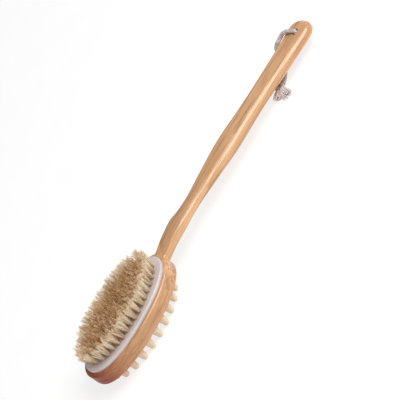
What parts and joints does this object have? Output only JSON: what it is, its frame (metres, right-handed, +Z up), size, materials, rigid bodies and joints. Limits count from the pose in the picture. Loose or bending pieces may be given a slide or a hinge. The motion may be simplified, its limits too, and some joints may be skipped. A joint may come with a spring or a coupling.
{
  "type": "body dry brush",
  "caption": "Long-handled wooden body brush with natural bristles in a white oval plate, rounded massage pegs on the back of its head and a knotted cotton hanging loop.",
  "frame": {"origin": "middle of the bounding box's base, on the surface that the peg tips stand on", "axes": "+X from the head along the handle to its end, +Y across the head, +Z up through the bristles"},
  "size_m": [0.4259, 0.072, 0.0535],
  "materials": {
    "beech_wood": "lacquered satin",
    "peg_wood": "satin",
    "white_plastic": "gloss",
    "natural_bristle": "matte",
    "anchor_wire": "brushed",
    "cotton_cord": "matte"
  },
  "bodies": {
    "brush": {"handle": "beech_wood", "back_block": "beech_wood", "bristle_plate": "white_plastic", "tufts_rim": "natural_bristle", "tufts_outer": "natural_bristle", "tufts_inner": "natural_bristle", "tufts_core": "natural_bristle", "tufts_middle": "natural_bristle", "tuft_anchors": "anchor_wire", "peg_01": "peg_wood", "peg_02": "peg_wood", "peg_03": "peg_wood", "peg_04": "peg_wood", "peg_05": "peg_wood", "peg_06": "peg_wood", "peg_07": "peg_wood", "peg_08": "peg_wood", "peg_09": "peg_wood", "peg_10": "peg_wood", "peg_11": "peg_wood", "peg_12": "peg_wood", "peg_13": "peg_wood", "peg_14": "peg_wood", "peg_15": "peg_wood", "peg_16": "peg_wood", "peg_17": "peg_wood", "peg_18": "peg_wood", "peg_19": "peg_wood", "peg_20": "peg_wood", "peg_21": "peg_wood", "peg_22": "peg_wood", "peg_23": "peg_wood", "peg_24": "peg_wood", "peg_25": "peg_wood", "peg_26": "peg_wood", "peg_27": "peg_wood", "peg_28": "peg_wood", "peg_29": "peg_wood", "peg_30": "peg_wood", "peg_31": "peg_wood", "peg_32": "peg_wood", "peg_33": "peg_wood", "peg_34": "peg_wood", "peg_35": "peg_wood"},
    "hang_loop": {"cord_front": "cotton_cord", "cord_back": "cotton_cord", "hang_knot": "cotton_cord", "cord_tail_left": "cotton_cord", "cord_tail_right": "cotton_cord"}
  },
  "joints": [
    {"name": "loop_swing", "type": "hinge", "parent": "brush", "child": "hang_loop", "pos_m": [0.197, 0, 0.0185], "axis": [0, 0, 1], "range_deg": [-230, 0]}
  ]
}
